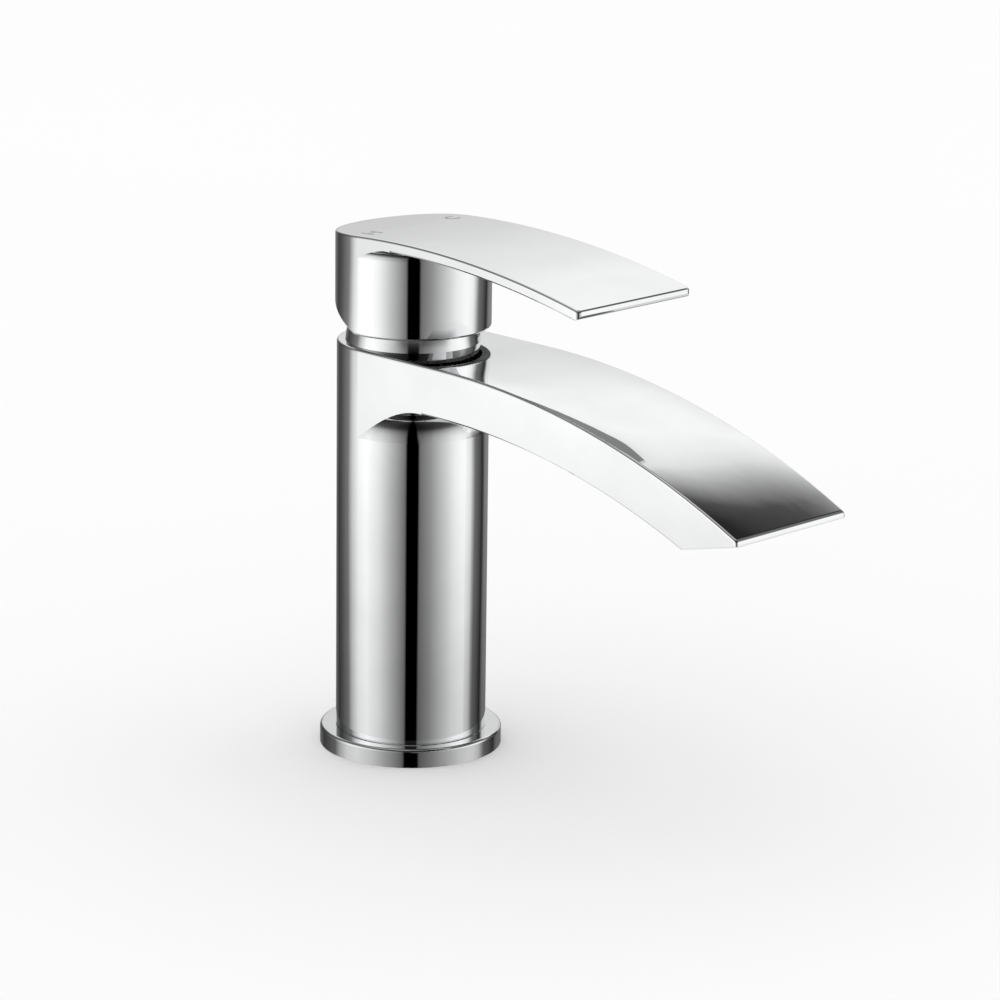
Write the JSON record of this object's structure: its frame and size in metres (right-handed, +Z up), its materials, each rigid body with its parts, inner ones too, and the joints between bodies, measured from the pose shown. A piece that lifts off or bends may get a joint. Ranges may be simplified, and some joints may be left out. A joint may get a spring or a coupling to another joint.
{
  "type": "basin mixer tap",
  "caption": "Deck-mounted basin mixer tap: a round pillar body on a base flange, a flat arched spout and a flat lever handle that lifts for flow and turns for temperature.",
  "frame": {"origin": "centre of the base underside, where the body axis meets the basin deck", "axes": "+Z up along the body axis, +X along the spout towards the outlet, +Y to the cold side (the right of a user who faces the spout)"},
  "size_m": [0.176, 0.0544, 0.1585],
  "materials": {
    "body_chrome": "polished",
    "flange_chrome": "polished",
    "trim_chrome": "polished",
    "handle_chrome": "polished",
    "aerator_chrome": "polished",
    "plug_chrome": "polished",
    "black_rubber": "matt",
    "turned_brass": "turned",
    "white_plastic": "moulded",
    "grey_plastic": "moulded",
    "red_plastic": "moulded",
    "alumina": "lapped",
    "steel": "turned"
  },
  "bodies": {
    "tap": {"tap_body": "body_chrome", "base_flange": "flange_chrome", "base_seal": "black_rubber", "cartridge_nut": "turned_brass", "trim_ring": "trim_chrome", "trim_ring_o_ring": "black_rubber", "cartridge_housing": "white_plastic", "housing_o_ring": "black_rubber", "cartridge_base": "white_plastic", "inlet_seal_hot": "black_rubber", "inlet_seal_cold": "black_rubber", "fixed_disc": "alumina", "aerator_housing": "aerator_chrome", "aerator_screen": "steel", "aerator_insert": "white_plastic", "aerator_washer": "black_rubber"},
    "swivel": {"spindle_guide": "grey_plastic", "stem_pin": "steel", "temperature_stop_ring": "red_plastic"},
    "lever": {"handle": "handle_chrome", "cartridge_stem": "turned_brass", "grub_screw": "steel", "screw_plug": "plug_chrome"},
    "disc": {"disc_carrier": "grey_plastic", "moving_disc": "alumina"}
  },
  "joints": [
    {"name": "temperature_turn", "type": "hinge", "parent": "tap", "child": "swivel", "pos_m": [0, 0, 0.124], "axis": [0, 0, 1], "range_deg": [-50, 50]},
    {"name": "lever_lift", "type": "hinge", "parent": "swivel", "child": "lever", "pos_m": [0, 0, 0.124], "axis": [0, -1, 0], "range_deg": [0, 25]},
    {"name": "disc_slide", "type": "slide", "parent": "swivel", "child": "disc", "axis": [1, 0, 0], "range_m": [0, 0.00444]}
  ],
  "couplings": [
    {"joint": "disc_slide", "follows": "lever_lift", "m_per_rad": 0.01017}
  ]
}
